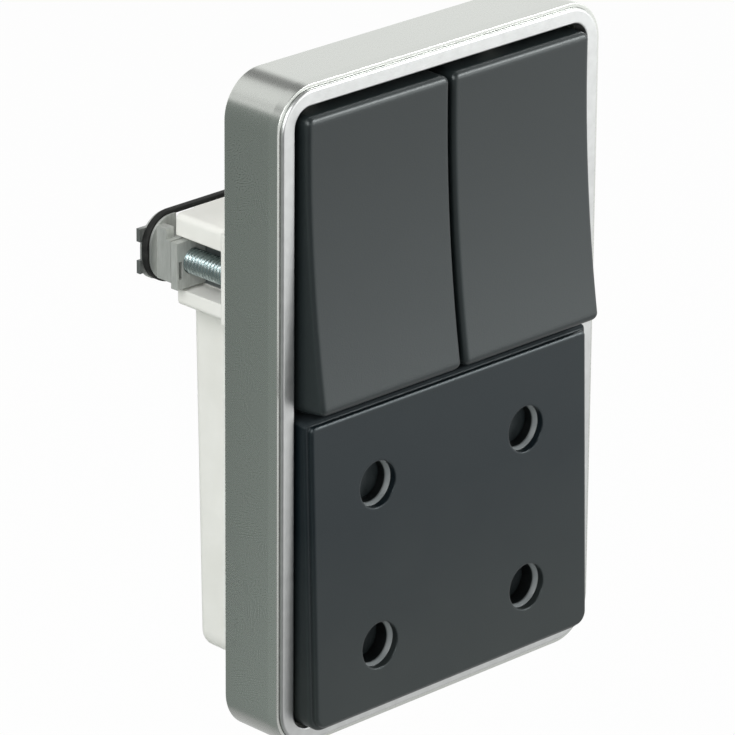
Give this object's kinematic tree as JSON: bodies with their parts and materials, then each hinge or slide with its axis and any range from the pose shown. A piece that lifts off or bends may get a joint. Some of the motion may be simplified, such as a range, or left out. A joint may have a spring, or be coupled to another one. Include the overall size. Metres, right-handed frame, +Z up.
{
  "type": "rocker switch and socket outlet in a wall frame",
  "caption": "Flush wall unit: dished rocker switches above a two-pin socket cover, in a satin frame with a polished bezel, on a white base with spreading claws.",
  "frame": {"origin": "centre of the frame on the wall surface, which is also the centre of the box screw holes", "axes": "+X to the right seen from the room, +Y into the wall, +Z up"},
  "size_m": [0.049, 0.0268, 0.0768],
  "materials": {
    "satin_silver": "satin",
    "polished_silver": "polished",
    "anthracite": "silk matt, fine moulded texture",
    "white_moulding": "matt",
    "grey_moulding": "matt",
    "insert_moulding": "matt",
    "claw_steel": "pressed sheet",
    "zinc_plate": "zinc plated",
    "spring_steel": "drawn wire",
    "contact_brass": "stamped",
    "band_rubber": "matt"
  },
  "bodies": {
    "base": {"frame_shell": "satin_silver", "bezel_ring": "polished_silver", "base_housing": "white_moulding", "switch_block": "insert_moulding", "common_bar": "contact_brass", "switch_contact_left": "contact_brass", "switch_contact_right": "contact_brass", "socket_block": "insert_moulding", "line_bar": "contact_brass", "neutral_bar": "contact_brass", "terminal_cages": "contact_brass", "terminal_springs": "spring_steel", "pin_guide": "grey_moulding", "socket_cover": "anthracite", "shutter_spring_left": "spring_steel", "shutter_spring_right": "spring_steel", "rubber_band": "band_rubber"},
    "left_switch": {"rocker_left": "anthracite", "toggle_left": "insert_moulding", "plunger_spring_left": "spring_steel"},
    "left_plunger": {"plunger_left": "insert_moulding"},
    "left_seesaw": {"contact_lever_left": "contact_brass"},
    "left_shutter": {"shutter_left": "grey_moulding"},
    "left_claw_screw": {"claw_screw_left": "zinc_plate"},
    "left_claw_nut": {"claw_nut_left": "claw_steel"},
    "left_claw": {"claw_left": "claw_steel"},
    "right_switch": {"rocker_right": "anthracite", "toggle_right": "insert_moulding", "plunger_spring_right": "spring_steel"},
    "right_plunger": {"plunger_right": "insert_moulding"},
    "right_seesaw": {"contact_lever_right": "contact_brass"},
    "right_shutter": {"shutter_right": "grey_moulding"},
    "right_claw_screw": {"claw_screw_right": "zinc_plate"},
    "right_claw_nut": {"claw_nut_right": "claw_steel"},
    "right_claw": {"claw_right": "claw_steel"}
  },
  "joints": [
    {"name": "left_rocker_tilt", "type": "hinge", "parent": "base", "child": "left_switch", "pos_m": [-0.01077, -0.0048, 0.0181], "axis": [1, 0, 0], "range_deg": [0, 8.6]},
    {"name": "left_seesaw_tilt", "type": "hinge", "parent": "base", "child": "left_seesaw", "pos_m": [-0.01077, 0.00145, 0.0181], "axis": [1, 0, 0], "range_deg": [-16.01, 0]},
    {"name": "left_plunger_slide", "type": "slide", "parent": "left_switch", "child": "left_plunger", "axis": [0, -0.9972, 0.075], "range_m": [0, 0.0006], "stiffness_N_per_m": 500, "springref_m": -0.001, "deforming": ["plunger_spring_left"]},
    {"name": "left_shutter_slide", "type": "slide", "parent": "base", "child": "left_shutter", "axis": [1, 0, 0], "range_m": [0, 0.0057], "stiffness_N_per_m": 80, "springref_m": -0.002, "deforming": ["shutter_spring_left"]},
    {"name": "left_claw_screw_turn", "type": "hinge", "parent": "base", "child": "left_claw_screw", "pos_m": [-0.0199, 0, 0.0136], "axis": [0, 1, 0], "range_deg": [0, 3456]},
    {"name": "left_claw_nut_slide", "type": "slide", "parent": "base", "child": "left_claw_nut", "axis": [0, -1, 0], "range_m": [0, 0.0048]},
    {"name": "left_claw_slide", "type": "slide", "parent": "base", "child": "left_claw", "axis": [-0.7071, -0.7071, 0], "range_m": [0, 0.0068], "deforming": ["rubber_band"]},
    {"name": "right_rocker_tilt", "type": "hinge", "parent": "base", "child": "right_switch", "pos_m": [0.01077, -0.0048, 0.0181], "axis": [1, 0, 0], "range_deg": [0, 8.6]},
    {"name": "right_seesaw_tilt", "type": "hinge", "parent": "base", "child": "right_seesaw", "pos_m": [0.01077, 0.00145, 0.0181], "axis": [1, 0, 0], "range_deg": [-16.01, 0]},
    {"name": "right_plunger_slide", "type": "slide", "parent": "right_switch", "child": "right_plunger", "axis": [0, -0.9972, 0.075], "range_m": [0, 0.0006], "stiffness_N_per_m": 500, "springref_m": -0.001, "deforming": ["plunger_spring_right"]},
    {"name": "right_shutter_slide", "type": "slide", "parent": "base", "child": "right_shutter", "axis": [-1, 0, 0], "range_m": [0, 0.0057], "stiffness_N_per_m": 80, "springref_m": -0.002, "deforming": ["shutter_spring_right"]},
    {"name": "right_claw_screw_turn", "type": "hinge", "parent": "base", "child": "right_claw_screw", "pos_m": [0.0199, 0, 0.0136], "axis": [0, 1, 0], "range_deg": [0, 3456]},
    {"name": "right_claw_nut_slide", "type": "slide", "parent": "base", "child": "right_claw_nut", "axis": [0, -1, 0], "range_m": [0, 0.0048]},
    {"name": "right_claw_slide", "type": "slide", "parent": "base", "child": "right_claw", "axis": [0.7071, -0.7071, 0], "range_m": [0, 0.0068], "deforming": ["rubber_band"]}
  ],
  "couplings": [
    {"joint": "left_seesaw_tilt", "follows": "left_rocker_tilt", "ratio": -1.86},
    {"joint": "left_claw_screw_turn", "follows": "left_claw_nut_slide", "rad_per_m": 12566},
    {"joint": "left_claw_slide", "follows": "left_claw_nut_slide", "ratio": 1.4142},
    {"joint": "right_seesaw_tilt", "follows": "right_rocker_tilt", "ratio": -1.86},
    {"joint": "right_claw_screw_turn", "follows": "right_claw_nut_slide", "rad_per_m": 12566},
    {"joint": "right_claw_slide", "follows": "right_claw_nut_slide", "ratio": 1.4142}
  ]
}
